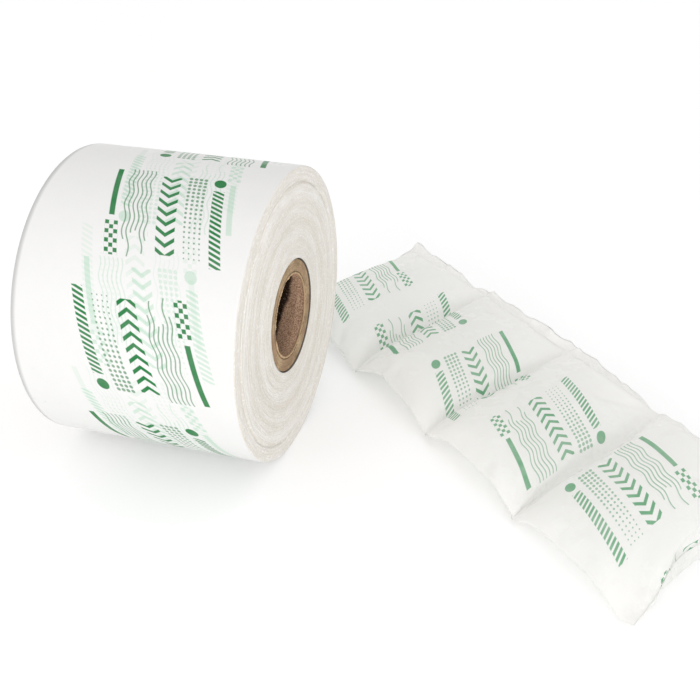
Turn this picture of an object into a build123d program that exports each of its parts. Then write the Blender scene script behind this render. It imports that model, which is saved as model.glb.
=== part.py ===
from build123d import *

import os
from math import cos, exp, floor, pi, radians, sin, sqrt

# A roll of air pillow film wound on a paperboard core, lying on its side, with a strip of the same
# film blown up into four pillows beside it. Millimetres. The origin is on the floor, in the middle of
# the flat that the roll rests on. X runs along the core towards the end that shows, Y away from the
# viewer and Z up.

# Core tube
core_bore = 76.2
core_wall = 14.3
core_recess = 1.5
ply_thickness = 1.6
ply_proud = 1.0
torn_angles = (104, 181)
torn_length = 9.0

# Film roll
film_width = 203.2
roll_diameter = 270.0
core_clearance = 0.1
flat_spot_width = 40.0
edge_slope = 1.6
loose_band = 16.0
groove_width = 3.0
groove_depth = 2.0
ridge_count = 3
ridge_rise = 1.0

# Pillow strip: headings are degrees on the floor, measured from X towards Y
pillow_count = 4
pillow_pitch = 138.5
pillow_rise = 23.0
left_pull = 3.5
right_pull = 3.0
side_lift = 16.0
seal_width = 6.0
seal_thickness = 1.0
seal_height = 20.0
seal_slant = 8.0
seal_droop = 14.0
droop_run = 20.0
droop_reach = 60.0
skirt_width = 8.0
skirt_lift = 1.0
strip_heading = -42.4
strip_bend = -1.06
corner_inset = 83.0
corner_behind = 84.0

# Worked out from the sizes above
bore_radius = core_bore / 2
core_radius = bore_radius + core_wall
core_length = film_width - 2 * core_recess
roll_radius = roll_diameter / 2
axis_height = sqrt(roll_radius**2 - (flat_spot_width / 2) ** 2)
roll_axis = Axis((0, 0, axis_height), (1, 0, 0))
cross_plane = Plane(origin=(0, 0, axis_height), x_dir=(0, 1, 0), z_dir=(1, 0, 0))

os.makedirs("parts", exist_ok=True)


def end_profile(side):
    """Points up one end of the winding, from the core to the rim: ridges of turns, then a groove."""
    end = film_width / 2
    inner = core_radius + core_clearance
    groove = roll_radius - loose_band
    points = []
    for step in range(ridge_count + 1):
        radius = inner + (groove - inner) * step / ridge_count
        sunk = ridge_rise if step % 2 and step < ridge_count else 0
        points.append((side * (end - sunk), axis_height + radius))
    points.append((side * (end - groove_depth), axis_height + groove + groove_width / 2))
    points.append((side * end, axis_height + groove + groove_width))
    points.append((side * end, axis_height + roll_radius - edge_slope))
    points.append((side * (end - edge_slope), axis_height + roll_radius))
    return points


# Core tube: a thick paperboard wall, with the torn edge of its inner ply round the bore
with BuildPart() as core_tube:
    with BuildSketch(cross_plane.offset(-core_length / 2)):
        Circle(core_radius)
        Circle(bore_radius, mode=Mode.SUBTRACT)
    extrude(amount=core_length)
    with BuildSketch(cross_plane.offset(core_length / 2)):
        Circle(bore_radius + ply_thickness)
        Circle(bore_radius, mode=Mode.SUBTRACT)
        for angle in torn_angles:
            with PolarLocations(bore_radius + ply_thickness / 2, 1, start_angle=angle):
                Rectangle(2 * ply_thickness, torn_length, mode=Mode.SUBTRACT)
    extrude(amount=ply_proud)
core_tube.part.label = "core_tube"
export_step(core_tube.part, "parts/core_tube.step")

# Film roll: all the turns in one solid, ridged and grooved at both ends, with a flat where it rests
with BuildPart() as film_roll:
    with BuildSketch(Plane.XZ):
        with BuildLine():
            Polyline(*end_profile(1), *reversed(end_profile(-1)), close=True)
        make_face()
    revolve(axis=roll_axis)
    split(bisect_by=Plane.XY, keep=Keep.TOP)
film_roll.part.label = "film_roll"
export_step(film_roll.part, "parts/film_roll.step")


def seal_corner(seal):
    """Where a seal meets the strip's left edge, counting seals from the far end."""
    corner = Vector(film_width / 2 - corner_inset, roll_radius + corner_behind, seal_height)
    for step in range(seal):
        heading = radians(strip_heading + step * strip_bend)
        corner += Vector(cos(heading), sin(heading), 0) * pillow_pitch
    return corner


def section_plane(place):
    """An upright plane across the strip, at a place counted in pillows from the far end."""
    pillow = min(max(floor(place), 0), pillow_count - 1)
    near = seal_corner(pillow)
    far = seal_corner(pillow + 1)
    across = radians(90 + strip_heading + seal_slant + place * strip_bend)
    return Plane(
        origin=near + (far - near) * (place - pillow),
        x_dir=(cos(across), sin(across), 0),
        z_dir=(sin(across), -cos(across), 0),
    )


def film_section(place, swell):
    """The strip's section: two films that bulge apart, from a folded edge on the left to a skirt on the
    right that stands up. The seals hang at the left, and the lower film lies flat where it rests."""
    half = seal_thickness / 2
    to_seal = abs(place - round(place)) * pillow_pitch
    droop = seal_droop * exp(-((to_seal / droop_run) ** 2))
    left = left_pull * swell
    right = film_width - right_pull * swell
    seam = right - skirt_width

    def film_points(side, shares):
        points = []
        for share in shares:
            x = left + (seam - left) * share
            middle = side_lift * (x / film_width) ** 2 - droop * max(0, 1 - x / droop_reach) ** 1.5
            gap = half + pillow_rise * swell * (4 * share * (1 - share)) ** 0.38
            points.append((x, max(middle + side * gap, -seal_height)))
        return points

    over = film_points(1, (0, 0.05, 0.15, 0.4, 0.7, 0.9, 1))
    under = film_points(-1, (0, 0.06, 0.2, 0.55, 0.9, 1))
    edge = side_lift + skirt_lift
    with BuildSketch(section_plane(place)) as section:
        with BuildLine():
            Spline(*over)
            Polyline(over[-1], (right, edge + half), (right, edge - half), under[-1])
            Polyline(*reversed(under))
            Line(under[0], over[0])
        make_face()
    return section.sketch.face()


# Pillow strip: flat seals with a blown pillow between each two, flattened where they rest
flat_swell = 0.01
seal_share = seal_width / 2 / pillow_pitch
swell_shares = (0.07, 0.16, 0.3, 0.5, 0.7, 0.84, 0.93)
with BuildPart() as pillow_strip:
    for seal in range(pillow_count + 1):
        loft([film_section(seal + side, flat_swell) for side in (-seal_share, seal_share)], ruled=True)
    for pillow in range(pillow_count):
        start = pillow + seal_share
        length = 1 - 2 * seal_share
        sections = [film_section(start, flat_swell)]
        for share in swell_shares:
            sections.append(film_section(start + length * share, sin(pi * share) ** 0.45))
        sections.append(film_section(start + length, flat_swell))
        loft(sections, ruled=True)
pillow_strip.part.label = "pillow_strip"
export_step(pillow_strip.part, "parts/pillow_strip.step")
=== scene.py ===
import math

import bmesh
import bpy
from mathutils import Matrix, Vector, noise


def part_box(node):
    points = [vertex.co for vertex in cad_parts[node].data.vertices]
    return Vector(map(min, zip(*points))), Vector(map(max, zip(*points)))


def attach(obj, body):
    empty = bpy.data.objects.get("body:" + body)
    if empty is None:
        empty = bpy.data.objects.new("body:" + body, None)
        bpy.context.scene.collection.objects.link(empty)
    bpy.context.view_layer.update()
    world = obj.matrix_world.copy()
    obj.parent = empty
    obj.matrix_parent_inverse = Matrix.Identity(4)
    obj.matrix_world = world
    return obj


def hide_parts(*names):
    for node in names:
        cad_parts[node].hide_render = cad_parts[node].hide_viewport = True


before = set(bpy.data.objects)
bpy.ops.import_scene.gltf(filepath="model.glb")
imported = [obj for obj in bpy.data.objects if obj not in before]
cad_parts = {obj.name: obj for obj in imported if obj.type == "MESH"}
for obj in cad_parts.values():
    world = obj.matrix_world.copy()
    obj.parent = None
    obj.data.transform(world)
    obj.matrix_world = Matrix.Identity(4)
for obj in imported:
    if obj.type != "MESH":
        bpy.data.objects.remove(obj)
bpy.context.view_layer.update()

# A roll of air pillow film on a paperboard core, with a strip of the same film blown up beside it.
# Metres, in the CAD frame: X along the core towards the end that shows, Y away from the viewer, Z up.

roll_low, roll_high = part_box("film_roll")
core_low, core_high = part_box("core_tube")

# Film roll
film_end = roll_high.x
film_width = roll_high.x - roll_low.x
roll_radius = (roll_high.y - roll_low.y) / 2
axis_height = roll_high.z - roll_radius
core_radius = (core_high.y - core_low.y) / 2
core_gap = 0.0001
loose_band = 0.016
groove_width = 0.003
groove_depth = 0.002
ridge_count = 3
ridge_rise = 0.001
rim_round = 0.0024
turn_steps = 288
turn_wander = 0.0009
coarse_step = 0.00035
fine_step = 0.0003
skin_sag = 0.0006
skin_band = 0.00035
skin_depth = 0.0006
wall_margin = 0.0003

# Core tube
core_wall = 0.0143
bore_radius = core_radius - core_wall
core_recess = 0.0015
core_face = film_end - core_recess
ply_thickness = 0.0016
ply_proud = 0.001
ply_count = 9
ply_step = 0.0002
core_round = 0.0006
bore_wear = 0.0004
face_wear = 0.0003
face_depth = 0.0004

# Torn lip: where the ply has torn away, as an angle round the bore and how far it reaches, in degrees
torn_places = ((104, 9), (181, 16))
lip_depth = 0.0012
lip_fray = 0.001
lip_swell = 0.0012

# Pillow strip: headings are degrees on the floor, measured from X towards Y
pillow_count = 4
pillow_pitch = 0.1385
flat_pitch = 0.153
sheet_rows = 36
sheet_columns = 48
skirt_columns = 2
seal_height = 0.020
floor_clear = 0.0002
seal_slant = 8.0
strip_heading = -42.4
strip_bend = -1.06
corner_inset = 0.083
corner_behind = 0.084
film_thickness = 0.0003
film_gap = 0.0008
air_pressure = 14.0
blow_steps = 26
seal_droop = 0.014
droop_run = 0.020
droop_reach = 0.060
side_lift = 0.016
skirt_lift = 0.001
left_ease = 0.75
right_ease = 0.9
crinkle_rise = 0.003
crinkle_start = 0.72
seal_crinkle = 0.9
seal_crinkle_run = 0.018
skirt_wave_rise = 0.004
skirt_wave_reach = 0.0045

# A point of the sheet is known by its film, row and column in one number
row_code = 1000
under_code = 1000000

# Print: block pitch, the angle round the roll where a block starts, and its own unit to a metre
block_pitch = 0.120
blocks_per_turn = 7
first_block = 81.0
print_unit = 1000.0

# Camera, as fitted to the picture
camera_place = (0.40225, -0.79124, 0.57631)
camera_down = 29.53
camera_turn = 17.27
sensor_width = 36
focal_pixels = 1053
picture_pixels = 700
floor_reach = 60

# Colours: a pair is the darker and the lighter of a mottled surface
roll_white = ((0.728, 0.723, 0.711, 1), (0.768, 0.763, 0.753, 1))
roll_green = (0.001, 0.17, 0.035, 1)
green_below = (0.12, 0.48, 0.24, 1)
green_deeper = (0.16, 0.50, 0.27, 1)
far_rim_painted_shade = (0.45, 0.447, 0.44, 1)
edge_cream = ((0.71, 0.65, 0.56, 1), (0.90, 0.875, 0.835, 1))
edge_line = (0.66, 0.62, 0.56, 1)
edge_painted_glint = (0.98, 0.97, 0.965, 1)
recess_painted_shade = (0.045, 0.032, 0.022, 1)
board_khaki = ((0.25, 0.175, 0.10, 1), (0.54, 0.39, 0.245, 1))
board_ruddy = (0.36, 0.22, 0.14, 1)
board_fleck = (0.50, 0.42, 0.31, 1)
ply_line = (0.15, 0.10, 0.06, 1)
dark_ply_and_gap_shade = (0.045, 0.043, 0.04, 1)
lip_painted_shade = (0.085, 0.05, 0.028, 1)
bore_brown = ((0.19, 0.105, 0.06, 1), (0.56, 0.37, 0.255, 1))
bore_painted_shade = (0.012, 0.005, 0.003, 1)
torn_pale = ((0.40, 0.26, 0.135, 1), (0.68, 0.48, 0.29, 1))
torn_fleck = (0.76, 0.62, 0.44, 1)
pillow_milk = ((0.962, 0.956, 0.940, 1), (0.982, 0.977, 0.964, 1))
pillow_green = (0.010, 0.33, 0.098, 1)
floor_white = (0.92, 0.92, 0.92, 1)


class Wiring:
    """Nodes and the links between them, in one material or group."""

    def __init__(self, tree):
        self.tree = tree

    def node(self, kind, **settings):
        made = self.tree.nodes.new(kind)
        for name, value in settings.items():
            setattr(made, name, value)
        return made

    def feed(self, socket, value):
        if isinstance(value, bpy.types.NodeSocket):
            self.tree.links.new(value, socket)
        else:
            socket.default_value = value

    def work(self, operation, *values, clamp=False):
        made = self.node("ShaderNodeMath", operation=operation, use_clamp=clamp)
        for socket, value in zip(made.inputs, values):
            self.feed(socket, value)
        return made.outputs[0]

    def cloud(self, place, scale, detail=2.0, roughness=0.5):
        made = self.node("ShaderNodeTexNoise")
        self.feed(made.inputs["Vector"], place)
        made.inputs["Scale"].default_value = scale
        made.inputs["Detail"].default_value = detail
        made.inputs["Roughness"].default_value = roughness
        return made.outputs["Fac"]

    def point(self, x, y, z):
        made = self.node("ShaderNodeCombineXYZ")
        for socket, value in zip(made.inputs, (x, y, z)):
            self.feed(socket, value)
        return made.outputs[0]

    def spread(self, value, low, high, to_low, to_high):
        made = self.node("ShaderNodeMapRange", interpolation_type="SMOOTHSTEP")
        for socket, amount in zip(made.inputs, (value, low, high, to_low, to_high)):
            self.feed(socket, amount)
        return made.outputs[0]

    def blend(self, share, under, over):
        made = self.node("ShaderNodeMix", data_type="RGBA")
        self.feed(made.inputs[0], share)
        self.feed(made.inputs[6], under)
        self.feed(made.inputs[7], over)
        return made.outputs[2]

    def bump(self, height, depth):
        made = self.node("ShaderNodeBump")
        made.inputs["Strength"].default_value = 1.0
        made.inputs["Distance"].default_value = depth
        self.feed(made.inputs["Height"], height)
        return made.outputs["Normal"]

    def split(self, vector):
        made = self.node("ShaderNodeSeparateXYZ")
        self.feed(made.inputs[0], vector)
        return made.outputs

    def length(self, one, other):
        squares = self.work("MULTIPLY", other, other)
        squares = self.work("ADD", self.work("MULTIPLY", one, one), squares)
        return self.work("SQRT", squares)

    def group(self, tree, **values):
        made = self.node("ShaderNodeGroup", node_tree=tree)
        for name, value in values.items():
            self.feed(made.inputs[name], value)
        return made.outputs


def new_group(name, inputs, outputs):
    tree = bpy.data.node_groups.new(name, "ShaderNodeTree")
    for socket, kind in inputs:
        tree.interface.new_socket(socket, in_out="INPUT", socket_type=kind)
    for socket, kind in outputs:
        tree.interface.new_socket(socket, in_out="OUTPUT", socket_type=kind)
    wires = Wiring(tree)
    return wires, wires.node("NodeGroupInput").outputs, wires.node("NodeGroupOutput").inputs


def new_material(name):
    material = bpy.data.materials.new(name)
    material.use_nodes = True
    wires = Wiring(material.node_tree)
    return material, wires, material.node_tree.nodes["Principled BSDF"].inputs


def span(wires, value, low, high):
    """How far a value is outside a span, below zero inside it."""
    away = wires.work("ABSOLUTE", wires.work("SUBTRACT", value, (low + high) / 2))
    return wires.work("SUBTRACT", away, (high - low) / 2)


def panel(wires, along, across, along_span, across_span):
    return wires.work("MAXIMUM", span(wires, along, *along_span), span(wires, across, *across_span))


def in_cell(wires, value, pitch):
    """A value counted from the middle of its cell, and the cell's number."""
    cell = wires.work("DIVIDE", value, pitch)
    number = wires.work("FLOOR", cell)
    middle = wires.work("SUBTRACT", wires.work("SUBTRACT", cell, number), 0.5)
    return wires.work("MULTIPLY", middle, pitch), number


def slanted_bars(wires, along, across, along_span, across_span, pitch, width):
    """A band of bold bars that lean."""
    leaning = wires.work("MULTIPLY_ADD", across, 0.45, along)
    offset = in_cell(wires, leaning, pitch)[0]
    bar = wires.work("SUBTRACT", wires.work("ABSOLUTE", offset), width / 2)
    return wires.work("MAXIMUM", bar, panel(wires, along, across, along_span, across_span))


def chevrons(wires, along, across, along_span, across_span, pitch, width):
    """A row of bold chevrons that point along the film."""
    aside = wires.work("ABSOLUTE", wires.work("SUBTRACT", across, sum(across_span) / 2))
    offset = in_cell(wires, wires.work("MULTIPLY_ADD", aside, 0.7, along), pitch)[0]
    bar = wires.work("SUBTRACT", wires.work("ABSOLUTE", offset), width / 2)
    return wires.work("MAXIMUM", bar, panel(wires, along, across, along_span, across_span))


def disc(wires, along, across, middle, radius):
    reach_along = wires.work("SUBTRACT", along, middle[0])
    reach_across = wires.work("SUBTRACT", across, middle[1])
    return wires.work("SUBTRACT", wires.length(reach_along, reach_across), radius)


def checks(wires, along, across, along_span, across_span, pitch):
    """A patch of squares, every second one filled."""
    offset, column = in_cell(wires, wires.work("SUBTRACT", along, along_span[0]), pitch)
    aside, row = in_cell(wires, wires.work("SUBTRACT", across, across_span[0]), pitch)
    square = wires.work("MAXIMUM", wires.work("ABSOLUTE", offset), wires.work("ABSOLUTE", aside))
    empty = wires.work("FLOORED_MODULO", wires.work("ADD", column, row), 2.0)
    square = wires.work("MULTIPLY_ADD", empty, pitch, wires.work("SUBTRACT", square, pitch * 0.46))
    return wires.work("MAXIMUM", square, panel(wires, along, across, along_span, across_span))


def dot_field(wires, along, across, along_span, across_span, pitch):
    """Rows of dots that shrink along the film."""
    offset, column = in_cell(wires, wires.work("SUBTRACT", along, along_span[0]), pitch)
    aside = in_cell(wires, wires.work("SUBTRACT", across, across_span[0]), pitch)[0]
    radius = wires.work("MULTIPLY_ADD", column, -0.06, 0.38 * pitch)
    dot = wires.work("SUBTRACT", wires.length(offset, aside), radius)
    return wires.work("MAXIMUM", dot, panel(wires, along, across, along_span, across_span))


def wavy_lines(wires, along, across, along_span, across_span, pitch, thickness):
    """Thin waving lines with uneven ends."""
    wave = wires.work("SINE", wires.work("MULTIPLY", along, 2 * math.pi / 26))
    waving = wires.work("MULTIPLY_ADD", wave, 1.3, wires.work("SUBTRACT", across, across_span[0]))
    offset, row = in_cell(wires, waving, pitch)
    line = wires.work("SUBTRACT", wires.work("ABSOLUTE", offset), thickness / 2)
    chance = wires.node("ShaderNodeTexWhiteNoise", noise_dimensions="1D")
    wires.feed(chance.inputs["W"], row)
    end = wires.work("MULTIPLY_ADD", chance.outputs["Value"], -26.0, along_span[1])
    field = panel(wires, along, across, along_span, across_span)
    field = wires.work("MAXIMUM", field, wires.work("SUBTRACT", along, end))
    return wires.work("MAXIMUM", line, field)


def inked(wires, shape, softness):
    """Turns a distance from a shape's edge into how much ink is there."""
    return wires.work("MULTIPLY_ADD", shape, -1 / softness, 0.5, clamp=True)


def film_print_group():
    """Plain bars, chevrons, dots and waving lines, in blocks that turn about along the film. Its own sizes
    are in millimetres."""
    number = "NodeSocketFloat"
    wires, given, out = new_group("film_print", [("Along", number), ("Across", number)], [("Ink", number)])
    run = wires.work("MULTIPLY", given["Along"], print_unit)
    width = wires.work("MULTIPLY", given["Across"], print_unit)
    pitch = block_pitch * print_unit
    block = wires.work("FLOOR", wires.work("DIVIDE", run, pitch))
    turned = wires.work("FLOORED_MODULO", block, 2.0)
    along = wires.work("SUBTRACT", run, wires.work("MULTIPLY", block, pitch))
    across = wires.work("MULTIPLY_ADD", along, 0.27, width)
    back_along = wires.work("SUBTRACT", 95.0, wires.work("MULTIPLY", along, 2.0))
    back_across = wires.work("SUBTRACT", 194.0, wires.work("MULTIPLY", across, 2.0))
    along = wires.work("ADD", along, wires.work("MULTIPLY", turned, back_along))
    across = wires.work("ADD", across, wires.work("MULTIPLY", turned, back_across))
    bold = panel(wires, along, across, (4.0, 58.0), (141.0, 146.0))
    for shape in (
        checks(wires, along, across, (63.0, 93.0), (137.0, 149.0), 4.0),
        chevrons(wires, along, across, (8.0, 88.0), (86.0, 103.0), 9.4, 3.7),
        disc(wires, along, across, (10.0, 51.0), 5.4),
        slanted_bars(wires, along, across, (20.0, 94.0), (46.0, 56.0), 4.7, 2.6),
    ):
        bold = wires.work("MINIMUM", bold, shape)
    fine = dot_field(wires, along, across, (5.0, 91.0), (62.0, 80.0), 4.5)
    waves = wavy_lines(wires, along, across, (2.0, 93.0), (110.0, 134.0), 4.0, 1.2)
    fine = wires.work("MINIMUM", fine, waves)
    fine_ink = wires.work("MULTIPLY", inked(wires, fine, 0.6), 0.75)
    ink = wires.work("MAXIMUM", inked(wires, bold, 0.6), fine_ink)
    wires.feed(out["Ink"], ink)
    return wires.tree


def film_grain_group():
    """Soft cloudiness and small waves in thin film."""
    wires, given, out = new_group(
        "film_grain",
        [("Place", "NodeSocketVector")],
        [("Cloud", "NodeSocketFloat"), ("Waves", "NodeSocketFloat")],
    )
    broad = wires.cloud(given["Place"], 22.0, 2.0)
    small = wires.cloud(given["Place"], 130.0, 3.0)
    wires.feed(out["Cloud"], wires.work("MULTIPLY_ADD", small, 0.35, wires.work("MULTIPLY", broad, 0.65)))
    wires.feed(out["Waves"], wires.work("MULTIPLY_ADD", small, 0.25, broad))
    return wires.tree


def paper_fibre_group():
    """Fibres, flecks and tooth of grey-brown paperboard."""
    wires, given, out = new_group(
        "paper_fibre",
        [("Place", "NodeSocketVector")],
        [("Fibre", "NodeSocketFloat"), ("Fleck", "NodeSocketFloat"), ("Tooth", "NodeSocketFloat")],
    )
    fibre = wires.cloud(given["Place"], 420.0, 5.0, 0.65)
    patch = wires.cloud(given["Place"], 65.0, 3.0)
    fleck = wires.spread(wires.cloud(given["Place"], 900.0, 1.0), 0.62, 0.74, 0.0, 1.0)
    wires.feed(out["Fibre"], wires.work("MULTIPLY_ADD", patch, 0.5, wires.work("MULTIPLY", fibre, 0.5)))
    wires.feed(out["Fleck"], fleck)
    wires.feed(out["Tooth"], fibre)
    return wires.tree


film_print = film_print_group()
film_grain = film_grain_group()
paper_fibre = paper_fibre_group()


def wound_skin_material():
    """White printed film on the outside of the roll, with the print of the turns below showing faintly and
    a painted shade of soft grey along the far rim, where the film rounds over."""
    material, wires, skin = new_material("wound_film_skin")
    place = wires.node("ShaderNodeTexCoord").outputs["Object"]
    x, y, z = wires.split(place)
    angle = wires.work("ARCTAN2", wires.work("SUBTRACT", z, axis_height), wires.work("MULTIPLY", y, -1.0))
    turn = blocks_per_turn * block_pitch / (2 * math.pi)
    along = wires.work("MULTIPLY", wires.work("SUBTRACT", math.radians(first_block), angle), turn)
    across = wires.work("SUBTRACT", film_end, x)
    grain = wires.group(film_grain, Place=place)
    ink = wires.group(film_print, Along=along, Across=across)["Ink"]
    below = wires.group(
        film_print,
        Along=wires.work("ADD", along, block_pitch + 0.027),
        Across=wires.work("ADD", across, 0.004),
    )["Ink"]
    deeper = wires.group(
        film_print,
        Along=wires.work("ADD", along, 0.052),
        Across=wires.work("SUBTRACT", across, 0.003),
    )["Ink"]
    white = wires.blend(grain["Cloud"], *roll_white)
    white = wires.blend(wires.work("MULTIPLY", deeper, 0.13), white, green_deeper)
    white = wires.blend(wires.work("MULTIPLY", below, 0.30), white, green_below)
    from_far_end = wires.work("ADD", x, film_end)
    # Painted shade: the skin is greyed in a soft band along the far rim.
    white = wires.blend(wires.spread(from_far_end, 0.0022, 0.0064, 0.8, 0.0), white, far_rim_painted_shade)
    strength = wires.spread(grain["Cloud"], 0.3, 0.7, 0.90, 0.99)
    colour = wires.blend(wires.work("MULTIPLY", ink, strength), white, roll_green)
    wires.feed(skin["Base Color"], colour)
    wires.feed(skin["Roughness"], wires.spread(grain["Cloud"], 0.25, 0.75, 0.26, 0.42))
    wires.feed(skin["Normal"], wires.bump(grain["Waves"], 0.0006))
    skin["Specular IOR Level"].default_value = 0.12
    return material


def wound_edge_material():
    """Film edges on the ends of the roll: cream, in fine rings with pale flecks painted as glints, with a
    soft gloss that runs along the rings. The film wall in the recess beside the core is painted dark as
    shade."""
    material, wires, edge = new_material("wound_film_edges")
    place = wires.node("ShaderNodeTexCoord").outputs["Object"]
    x, y, z = wires.split(place)
    up = wires.work("SUBTRACT", z, axis_height)
    radius = wires.length(y, up)
    wander = wires.work("MULTIPLY_ADD", wires.cloud(place, 14.0, 2.0), 0.0014, radius)
    ways_round = [wires.work("DIVIDE", way, radius) for way in (y, up)]

    def rings(across, around, detail):
        """Rings so many to a metre, broken so many times round."""
        broken = [wires.work("MULTIPLY", way, around) for way in ways_round]
        return wires.cloud(wires.point(wires.work("MULTIPLY", wander, across), *broken), 1.0, detail)

    fine = rings(1300.0, 7.0, 2.0)
    middle = rings(420.0, 3.0, 2.0)
    # Painted glints: pale flecks along the rings stand in for film edges catching the light.
    painted_glints = rings(900.0, 40.0, 1.0)
    broad = wires.cloud(wires.point(wander, 0.0, 0.0), 75.0, 1.0)
    tone = wires.work("MULTIPLY_ADD", middle, 0.45, wires.work("MULTIPLY", broad, 0.55))
    cream = wires.blend(wires.spread(tone, 0.3, 0.7, 0.0, 1.0), *edge_cream)
    cream = wires.blend(wires.spread(fine, 0.32, 0.60, 0.45, 0.0), cream, edge_line)
    cream = wires.blend(wires.spread(painted_glints, 0.54, 0.70, 0.0, 0.65), cream, edge_painted_glint)
    # Painted shade: the film wall in the recess beside the core is painted dark, and its gloss is turned
    # down there.
    from_end = wires.work("SUBTRACT", film_end, wires.work("ABSOLUTE", x))
    down_wall = wires.spread(from_end, 0.0002, 0.0007, 0.0, 1.0)
    recess_shade_mask = wires.spread(radius, core_radius + 0.0003, core_radius + 0.0012, 0.9, 0.0)
    recess_shade_mask = wires.work("MULTIPLY", recess_shade_mask, down_wall)
    cream = wires.blend(recess_shade_mask, cream, recess_painted_shade)
    wires.feed(edge["Base Color"], cream)
    wires.feed(edge["Roughness"], wires.spread(middle, 0.3, 0.7, 0.30, 0.44))
    height = wires.work("MULTIPLY_ADD", fine, 0.5, middle)
    wires.feed(edge["Normal"], wires.bump(height, 0.0010))
    wires.feed(edge["Specular IOR Level"], wires.spread(recess_shade_mask, 0.1, 0.8, 0.9, 0.03))
    edge["Anisotropic"].default_value = 0.9
    ring_way = wires.node("ShaderNodeTangent", direction_type="RADIAL", axis="X")
    wires.feed(edge["Tangent"], ring_way.outputs["Tangent"])
    return material


def paperboard_material():
    """Khaki paperboard, wound in plies, darker at the rim from a dark outer ply and painted shade of the
    gap, mottled inside the bore and painted dark as shade deep in it.
    """
    material, wires, board = new_material("core_paperboard")
    place = wires.node("ShaderNodeTexCoord").outputs["Object"]
    x, y, z = wires.split(place)
    up = wires.work("SUBTRACT", z, axis_height)
    radius = wires.length(y, up)
    fibre = wires.group(paper_fibre, Place=place)
    plies = wires.cloud(wires.point(radius, 0.0, 0.0), 620.0, 1.0)
    mottle = wires.spread(fibre["Fibre"], 0.36, 0.64, 0.0, 1.0)
    khaki = wires.blend(mottle, *board_khaki)
    ruddy = wires.spread(wires.cloud(place, 42.0, 2.0), 0.42, 0.66, 0.0, 0.6)
    khaki = wires.blend(ruddy, khaki, board_ruddy)
    khaki = wires.blend(wires.spread(plies, 0.40, 0.62, 0.3, 0.0), khaki, ply_line)
    # The dark rim is partly the dark outer ply and partly painted shade of the gap between core and film.
    wander = wires.work("MULTIPLY_ADD", wires.cloud(place, 60.0, 2.0), 0.0016, radius)
    rim_ply_and_shade = wires.spread(wander, core_radius - 0.0008, core_radius + 0.0002, 0.0, 0.92)
    khaki = wires.blend(rim_ply_and_shade, khaki, dark_ply_and_gap_shade)
    # Painted shade: a dark ring on the face at the foot of the proud torn lip.
    off_lip = wires.work("ABSOLUTE", wires.work("SUBTRACT", radius, bore_radius + ply_thickness + 0.0004))
    khaki = wires.blend(wires.spread(off_lip, 0.0003, 0.0008, 0.75, 0.0), khaki, lip_painted_shade)
    inside = wires.spread(radius, bore_radius + 0.0004, bore_radius + 0.0012, 1.0, 0.0)
    speckle = wires.spread(wires.cloud(place, 820.0, 3.0, 0.7), 0.34, 0.66, 0.0, 1.0)
    wall = wires.blend(speckle, *bore_brown)
    # Painted shade: the bore wall is painted dark deeper in, sooner towards the top, where light does not
    # reach.
    depth = wires.work("SUBTRACT", core_face, wires.work("ABSOLUTE", x))
    depth = wires.work("MULTIPLY_ADD", wires.cloud(place, 45.0, 3.0), 0.012, depth)
    depth = wires.work("MULTIPLY_ADD", up, 0.22, depth)
    wall = wires.blend(wires.spread(depth, 0.0200, 0.0245, 0.0, 0.98), wall, bore_painted_shade)
    colour = wires.blend(inside, khaki, wall)
    colour = wires.blend(wires.work("MULTIPLY", fibre["Fleck"], 0.4), colour, board_fleck)
    wires.feed(board["Base Color"], colour)
    wires.feed(board["Roughness"], wires.spread(fibre["Fibre"], 0.3, 0.7, 0.72, 0.9))
    wires.feed(board["Normal"], wires.bump(fibre["Tooth"], 0.0005))
    board["Specular IOR Level"].default_value = 0.05
    return material


def torn_paper_material():
    """Pale, fuzzy paper where the inner ply has torn."""
    material, wires, torn = new_material("torn_ply_paper")
    place = wires.node("ShaderNodeTexCoord").outputs["Object"]
    fibre = wires.group(paper_fibre, Place=place)
    colour = wires.blend(fibre["Fibre"], *torn_pale)
    colour = wires.blend(wires.work("MULTIPLY", fibre["Fleck"], 0.5), colour, torn_fleck)
    wires.feed(torn["Base Color"], colour)
    wires.feed(torn["Roughness"], wires.spread(fibre["Fibre"], 0.3, 0.7, 0.78, 0.95))
    wires.feed(torn["Normal"], wires.bump(fibre["Tooth"], 0.0006))
    torn["Specular IOR Level"].default_value = 0.25
    return material


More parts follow.
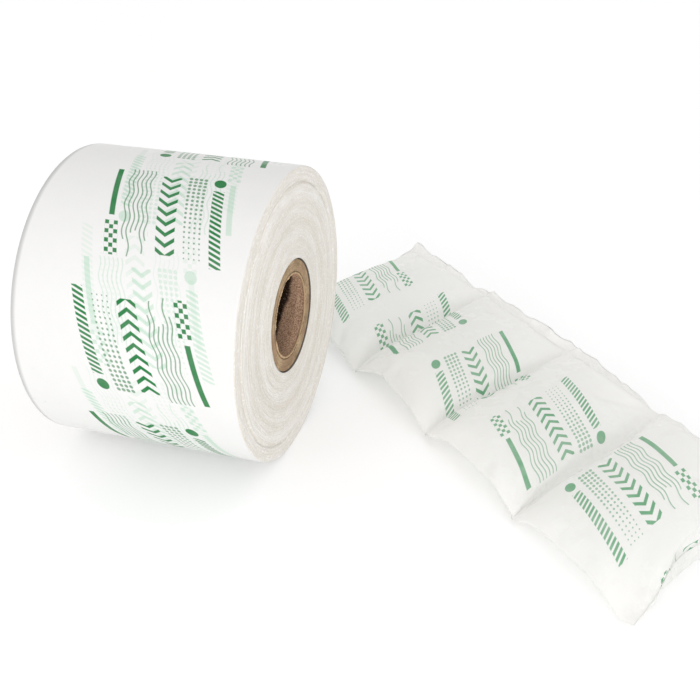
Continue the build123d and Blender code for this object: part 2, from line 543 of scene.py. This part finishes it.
def pillow_film_material():
    """Milky film, blown tight, that lets light through, with the print pale on it and fine crinkles near
    the seals and the skirt."""
    material, wires, film = new_material("pillow_film")
    flat = wires.node("ShaderNodeUVMap", uv_map="flat_film").outputs["UV"]
    place = wires.node("ShaderNodeTexCoord").outputs["Object"]
    along, across = wires.split(flat)[:2]
    grain = wires.group(film_grain, Place=place)
    ink = wires.group(film_print, Along=along, Across=across)["Ink"]
    milk = wires.blend(grain["Cloud"], *pillow_milk)
    strength = wires.spread(grain["Cloud"], 0.3, 0.7, 0.66, 0.84)
    colour = wires.blend(wires.work("MULTIPLY", ink, strength), milk, pillow_green)
    wires.feed(film["Base Color"], colour)
    wires.feed(film["Roughness"], wires.spread(grain["Cloud"], 0.25, 0.75, 0.18, 0.32))
    pillow = wires.work("DIVIDE", wires.work("SUBTRACT", along, flat_pitch / sheet_rows / 2), flat_pitch)
    to_seal = wires.work("ABSOLUTE", wires.work("SUBTRACT", pillow, wires.work("ROUND", pillow)))
    near_seal = wires.spread(to_seal, 0.02, 0.14, 1.0, 0.0)
    near_skirt = wires.spread(wires.work("FLOORED_MODULO", across, 1.0), 0.165, 0.200, 0.0, 1.0)
    drawn = wires.work("MAXIMUM", near_seal, near_skirt)
    crinkle = wires.cloud(wires.point(wires.work("MULTIPLY", along, 0.7), across, 0.0), 150.0, 3.0, 0.6)
    height = wires.work("MULTIPLY_ADD", wires.work("MULTIPLY", crinkle, drawn), 6.5, grain["Waves"])
    normal = wires.bump(height, 0.0003)
    wires.feed(film["Normal"], normal)
    film["Specular IOR Level"].default_value = 0.45
    through = wires.node("ShaderNodeBsdfTranslucent")
    wires.feed(through.inputs["Color"], colour)
    wires.feed(through.inputs["Normal"], normal)
    both = wires.node("ShaderNodeMixShader")
    both.inputs["Fac"].default_value = 0.5
    nodes = material.node_tree.nodes
    wires.feed(both.inputs[1], nodes["Principled BSDF"].outputs["BSDF"])
    wires.feed(both.inputs[2], through.outputs["BSDF"])
    wires.feed(nodes["Material Output"].inputs["Surface"], both.outputs["Shader"])
    return material


def studio_floor_material():
    material, _, floor = new_material("studio_floor")
    floor["Base Color"].default_value = floor_white
    floor["Roughness"].default_value = 0.9
    floor["Specular IOR Level"].default_value = 0.0
    floor["Emission Color"].default_value = (1, 1, 1, 1)
    floor["Emission Strength"].default_value = 0.12
    return material


def new_piece(name, bm, *materials):
    """An object at the origin from a finished bmesh, smooth-shaded."""
    mesh = bpy.data.meshes.new(name)
    for face in bm.faces:
        face.smooth = True
    bm.to_mesh(mesh)
    bm.free()
    for material in materials:
        mesh.materials.append(material)
    piece = bpy.data.objects.new(name, mesh)
    bpy.context.scene.collection.objects.link(piece)
    return piece


def dress(piece, node):
    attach(piece, "root")
    if node:
        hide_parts(node)


def polar(vert):
    """A point's distance from the core's axis, and its angle round it from Y towards Z."""
    up = vert.co.z - axis_height
    return math.hypot(vert.co.y, up), math.atan2(up, vert.co.y)


def spun_ring(corners, cuts):
    """A closed ring, spun round the core's axis from a profile of (x, radius) corners, each side cut up."""
    bm = bmesh.new()
    verts = [bm.verts.new((x, 0, axis_height + radius)) for x, radius in corners]
    sides = [bm.edges.new(pair) for pair in zip(verts, verts[1:] + verts[:1])]
    for side, count in zip(sides, cuts):
        if count:
            bmesh.ops.subdivide_edges(bm, edges=[side], cuts=count)
    bmesh.ops.spin(
        bm,
        geom=bm.verts[:] + bm.edges[:],
        cent=(0, 0, axis_height),
        axis=(1, 0, 0),
        angle=2 * math.pi,
        steps=turn_steps,
        use_merge=True,
    )
    bmesh.ops.recalc_face_normals(bm, faces=bm.faces)
    return bm


def edge_relief(radius, angle, side):
    """How far the film edges stand back from the end of the roll, turn by turn."""
    inner = core_radius + core_gap
    groove = roll_radius - loose_band
    around = Vector((1.4 * math.cos(angle), 1.4 * math.sin(angle), 30 * radius + 5 * side))
    radius += turn_wander * noise.noise(around)
    step = (radius - inner) / (groove - inner) * ridge_count
    depth = 0.0
    if 0 < step < ridge_count - 1:
        depth = ridge_rise * (1 - abs(step % 2 - 1))
    depth += coarse_step * abs(noise.noise(Vector((radius * 240, 3.1, side))))
    depth += fine_step * abs(noise.noise(Vector((radius * 800, 8.7, side))))
    return depth


def wound_film():
    """All the turns of film in one ring: fine stepped edges on the ends and a soft, banded outside."""
    inner = core_radius + core_gap
    groove = roll_radius - loose_band
    half_end = [
        (film_end, inner),
        (film_end, groove),
        (film_end - groove_depth, groove + groove_width / 2),
        (film_end, groove + groove_width),
        (film_end, roll_radius - rim_round),
        (film_end - 0.25 * rim_round, roll_radius - 0.4 * rim_round),
        (film_end - 0.6 * rim_round, roll_radius - 0.1 * rim_round),
        (film_end - 1.2 * rim_round, roll_radius),
    ]
    half_cuts = [84, 2, 2, 12, 0, 0, 0]
    corners = half_end + [(-x, radius) for x, radius in reversed(half_end)]
    bm = spun_ring(corners, half_cuts + [26] + half_cuts[::-1] + [1])
    for face in bm.faces:
        middle = face.calc_center_median()
        reach = math.hypot(middle.y, middle.z - axis_height)
        face.material_index = 1 if reach < roll_radius - 0.5 * rim_round else 0
    for vert in bm.verts:
        radius, angle = polar(vert)
        side = 1 if vert.co.x > 0 else -1
        on_end = abs(vert.co.x) > film_end - 1.1 * groove_depth and inner + wall_margin < radius
        if on_end and radius < roll_radius - 1.05 * rim_round:
            vert.co.x -= side * edge_relief(radius, angle, side)
        elif radius > roll_radius - skin_depth:
            around = Vector((2.2 * math.cos(angle), 2.2 * math.sin(angle), 9 * vert.co.x))
            band = noise.noise(Vector((vert.co.x * 55, 0.4, 0)))
            sink = skin_sag * abs(noise.noise(around)) + skin_band * abs(band)
            vert.co.y -= sink * math.cos(angle)
            vert.co.z -= sink * math.sin(angle)
        vert.co.z = max(vert.co.z, 0.0)
    piece = new_piece("wound_film", bm, wound_skin_material(), wound_edge_material())
    dress(piece, "film_roll")


def paper_core(paperboard):
    """The paperboard tube: plied end faces, slightly worn, and a rounded rim."""
    ply = core_wall / ply_count
    half_end = [(core_face, bore_radius + bore_wear)]
    for count in range(1, ply_count):
        half_end.append((core_face - ply_step * (count % 2), bore_radius + count * ply))
    half_end += [(core_face, core_radius - core_round), (core_face - core_round, core_radius)]
    corners = half_end + [(-x, radius) for x, radius in reversed(half_end)]
    end_cuts = [1] * (ply_count + 1)
    cuts = end_cuts + [16] + end_cuts + [16]
    bm = spun_ring(corners, cuts)
    for vert in bm.verts:
        radius, angle = polar(vert)
        around = Vector((6 * math.cos(angle), 6 * math.sin(angle), 300 * radius))
        if abs(vert.co.x) > core_face - face_depth:
            vert.co.x -= math.copysign(face_wear * abs(noise.noise(around)), vert.co.x)
    piece = new_piece("paper_core", bm, paperboard)
    dress(piece, "core_tube")


def torn_lip(paper):
    """The frayed edge of the core's inner ply, standing round the bore and torn away at two places."""
    foot = core_face - lip_depth
    corners = [
        (foot, bore_radius + 0.00002),
        (core_face + ply_proud, bore_radius + 0.0001),
        (core_face + ply_proud, bore_radius + 0.6 * ply_thickness),
        (foot, bore_radius + ply_thickness),
    ]
    bm = spun_ring(corners, [2, 1, 2, 0])
    for vert in bm.verts:
        radius, angle = polar(vert)
        height = vert.co.x - foot
        around = Vector((math.cos(angle), math.sin(angle), 0.1))
        ragged = 0.5 + 0.5 * noise.noise(9 * around)
        fine = 0.5 + 0.5 * noise.noise(47 * around)
        share = 0.30 + 0.40 * ragged + 0.30 * fine
        for place, reach in torn_places:
            off = abs((math.degrees(angle) - place + 180) % 360 - 180)
            share *= min(1.0, max(0.15, off / reach - 0.2 + 0.9 * fine))
        vert.co.x = foot + height * share
        if radius < bore_radius + 0.5 * ply_thickness and height > 0.5 * lip_depth:
            fray = lip_fray * max(0.0, ragged + fine - 0.9)
            vert.co.y -= fray * math.cos(angle)
            vert.co.z -= fray * math.sin(angle)
        if radius > bore_radius + 0.5 * ply_thickness:
            swell = lip_swell * (ragged + fine - 1.0)
            vert.co.y += swell * math.cos(angle)
            vert.co.z += swell * math.sin(angle)
    piece = new_piece("torn_lip", bm, paper)
    dress(piece, None)


def seal_corner(seal):
    """Where a seal meets the strip's left edge, counting seals from the far end."""
    corner = Vector((film_end - corner_inset, roll_radius + corner_behind, 0))
    for step in range(seal):
        heading = math.radians(strip_heading + step * strip_bend)
        corner += Vector((math.cos(heading), math.sin(heading), 0)) * pillow_pitch
    return corner


def on_floor(place, aside, height):
    """A point of the strip: how many pillows along, how far across and how high above the seals."""
    pillow = min(max(math.floor(place), 0), pillow_count - 1)
    near = seal_corner(pillow)
    far = seal_corner(pillow + 1)
    across = math.radians(90 + strip_heading + seal_slant + place * strip_bend)
    edge = near + (far - near) * (place - pillow)
    point = edge + aside * Vector((math.cos(across), math.sin(across), 0))
    point.z = max(seal_height + height, floor_clear)
    return point


def settle(place, aside, height, column):
    """Lets the limp ends of the seals hang on the left, eases both sides out, lifts the right one and
    crinkles the film near its skirt and the seals."""
    run = place * pillow_pitch
    to_seal = abs(place - round(place)) * pillow_pitch
    at_seal = math.exp(-((to_seal / droop_run) ** 2))
    left = max(0.0, 1 - aside / droop_reach) ** 1.5
    height -= at_seal * seal_droop * left
    share = column / sheet_columns
    ease = right_ease * share**2 + left_ease * (1 - share) ** 2
    aside += ease * (film_width * share - aside)
    height += side_lift * share**2
    drawn = max(0.0, (share - crinkle_start) / (1 - crinkle_start))
    drawn += seal_crinkle * math.exp(-((to_seal / seal_crinkle_run) ** 2))
    crease = 0.3 - abs(noise.noise(Vector((run * 70, aside * 45, 3.0))))
    height += drawn * crinkle_rise * crease
    skirt = max(0.0, (column - sheet_columns + skirt_columns + 2) / (skirt_columns + 2))
    height += skirt * (skirt_lift + skirt_wave_rise * noise.noise(Vector((run * 52, 2.0, 0))))
    aside += skirt * skirt_wave_reach * noise.noise(Vector((run * 38, 7.0, 0)))
    return on_floor(place, aside, height)


def seal_row(row):
    """Whether a row of the sheet is in a cross seal."""
    return row % sheet_rows < 2


def film_sheet(sealed):
    """The flat strip, two films deep. Sealed, the films are one along the edges, the skirt and the seals;
    otherwise they meet only round the outside."""
    rows = pillow_count * sheet_rows + 1
    bm = bmesh.new()
    bmesh.ops.create_grid(bm, x_segments=rows, y_segments=sheet_columns, size=1)
    key = bm.verts.layers.int.new("sheet_key")
    flat = bm.loops.layers.uv.new("flat_film")
    slant = math.radians(seal_slant)
    for vert in bm.verts:
        row = round((vert.co.x + 1) / 2 * rows)
        column = round((vert.co.y + 1) / 2 * sheet_columns)
        vert[key] = row * row_code + column
        aside = film_width * column / sheet_columns
        along = (row - 0.5) * flat_pitch / sheet_rows
        vert.co = (along - aside * math.sin(slant), aside * math.cos(slant), 0)
    for face in bm.faces:
        for loop in face.loops:
            row, column = divmod(loop.vert[key], row_code)
            loop[flat].uv = (row * flat_pitch / sheet_rows, film_width * column / sheet_columns)
    copied = bmesh.ops.duplicate(bm, geom=bm.verts[:] + bm.edges[:] + bm.faces[:])["geom"]
    lower = [item for item in copied if isinstance(item, bmesh.types.BMFace)]
    bmesh.ops.reverse_faces(bm, faces=lower)
    lower_verts = {vert for face in lower for vert in face.verts}
    for face in lower:
        for loop in face.loops:
            loop[flat].uv.y += 1.0
    shut = []
    for vert in bm.verts:
        row, column = divmod(vert[key], row_code)
        outside = row in (0, rows) or column in (0, sheet_columns)
        seam = seal_row(row) or column > sheet_columns - skirt_columns - 1
        under = vert in lower_verts
        if under:
            vert[key] += under_code
        if outside or (sealed and seam):
            shut.append(vert)
        else:
            vert.co.z += -film_gap if under else film_gap
    if sealed:
        joined = set(shut)
        doubled = [face for face in lower if all(vert in joined for vert in face.verts)]
        bmesh.ops.delete(bm, geom=doubled, context="FACES_ONLY")
    bmesh.ops.remove_doubles(bm, verts=shut, dist=1e-6)
    return bm, key


def blow_up(sheet):
    """Blows air between the sealed films and gives where each point of the sheet ends."""
    strip = new_piece("blowing", sheet)
    keys = [item.value for item in strip.data.attributes["sheet_key"].data]
    firm = strip.vertex_groups.new(name="air")
    free = []
    for index, code in enumerate(keys):
        row, column = divmod(code % under_code, row_code)
        if not seal_row(row) and column <= sheet_columns - skirt_columns:
            free.append(index)
    firm.add(free, 1.0, "REPLACE")
    cloth = strip.modifiers.new("air", "CLOTH")
    film = cloth.settings
    film.quality = 5
    film.mass = 0.1
    film.air_damping = 3.0
    film.tension_stiffness = 60.0
    film.compression_stiffness = 60.0
    film.shear_stiffness = 20.0
    film.bending_stiffness = 0.02
    film.tension_damping = 15.0
    film.compression_damping = 15.0
    film.use_pressure = True
    film.uniform_pressure_force = air_pressure
    film.vertex_group_pressure = "air"
    film.effector_weights.gravity = 0.0
    cloth.collision_settings.use_collision = False
    cloth.collision_settings.use_self_collision = False
    cloth.point_cache.frame_start = 1
    cloth.point_cache.frame_end = blow_steps
    scene = bpy.context.scene
    for step in range(1, blow_steps + 1):
        scene.frame_set(step)
    blown = strip.evaluated_get(bpy.context.evaluated_depsgraph_get()).to_mesh()
    ends = {code: vert.co.copy() for code, vert in zip(keys, blown.vertices)}
    scene.frame_set(1)
    bpy.data.objects.remove(strip)
    return ends


def pillow_strip():
    """The strip of pillows: a sealed two-film sheet blown up, then laid on the floor beside the roll."""
    ends = blow_up(film_sheet(True)[0])
    slant = math.radians(seal_slant)
    seals = []
    for seal in range(pillow_count + 1):
        runs = []
        for code, point in ends.items():
            row = code % under_code // row_code
            if row // sheet_rows == seal and seal_row(row):
                runs.append(point.x + point.y * math.tan(slant))
        seals.append(sum(runs) / len(runs))
    bm, key = film_sheet(False)
    rows = pillow_count * sheet_rows + 1
    for vert in bm.verts:
        code = vert[key]
        under = code >= under_code
        twin = code - under_code if under else code + under_code
        shared = code not in ends or twin not in ends
        point = ends[code] if code in ends else ends[twin]
        row, column = divmod(code % under_code, row_code)
        outside = row in (0, rows) or column in (0, sheet_columns)
        height = point.z
        if shared and not outside:
            height += -film_thickness / 2 if under else film_thickness / 2
        run = point.x + point.y * math.tan(slant)
        pillow = 0
        while pillow < pillow_count - 1 and run > seals[pillow + 1]:
            pillow += 1
        place = pillow + (run - seals[pillow]) / (seals[pillow + 1] - seals[pillow])
        vert.co = settle(place, point.y / math.cos(slant), height, column)
    piece = new_piece("blown_strip", bm, pillow_film_material())
    finer = piece.modifiers.new("finer", "SUBSURF")
    finer.levels = 1
    finer.render_levels = 1
    dress(piece, "pillow_strip")


wound_film()
paper_core(paperboard_material())
torn_lip(torn_paper_material())
pillow_strip()

# Studio: a pale floor, an even sky and soft lamps
floor_bm = bmesh.new()
bmesh.ops.create_grid(floor_bm, x_segments=1, y_segments=1, size=floor_reach)
studio_floor = new_piece("studio_floor", floor_bm, studio_floor_material())

world = bpy.data.worlds.new("studio")
world.use_nodes = True
sky = Wiring(world.node_tree)
sky_way = sky.split(sky.node("ShaderNodeTexCoord").outputs["Generated"])
sky_light = world.node_tree.nodes["Background"].inputs
sky_light["Color"].default_value = (1, 1, 1, 1)
sky_side = sky.work("ABSOLUTE", sky_way["X"])
sky.feed(sky_light["Strength"], sky.spread(sky_side, 0.5, 0.95, 1.0, 0.7))
bpy.context.scene.world = world


def soft_lamp(name, place, aim, size, power):
    lamp = bpy.data.lights.new(name, "AREA")
    lamp.shape = "DISK"
    lamp.size = size
    lamp.energy = power
    made = bpy.data.objects.new(name, lamp)
    made.location = place
    made.rotation_euler = (Vector(aim) - Vector(place)).to_track_quat("-Z", "Y").to_euler()
    bpy.context.scene.collection.objects.link(made)


lamp_aim = (0.2, 0.1, 0.1)
soft_lamp("front_lamp", (1.2, -2.1, 0.45), lamp_aim, 0.45, 14)
soft_lamp("left_lamp", (-0.9, -1.9, 0.8), lamp_aim, 1.2, 5)

view_camera = bpy.data.cameras.new("view_camera")
view_camera.sensor_fit = "HORIZONTAL"
view_camera.sensor_width = sensor_width
view_camera.lens = sensor_width * focal_pixels / picture_pixels
camera = bpy.data.objects.new("view_camera", view_camera)
camera.location = camera_place
camera.rotation_euler = (math.radians(90 - camera_down), 0, math.radians(camera_turn))
bpy.context.scene.collection.objects.link(camera)
bpy.context.scene.camera = camera
bpy.context.scene.view_settings.view_transform = "Standard"
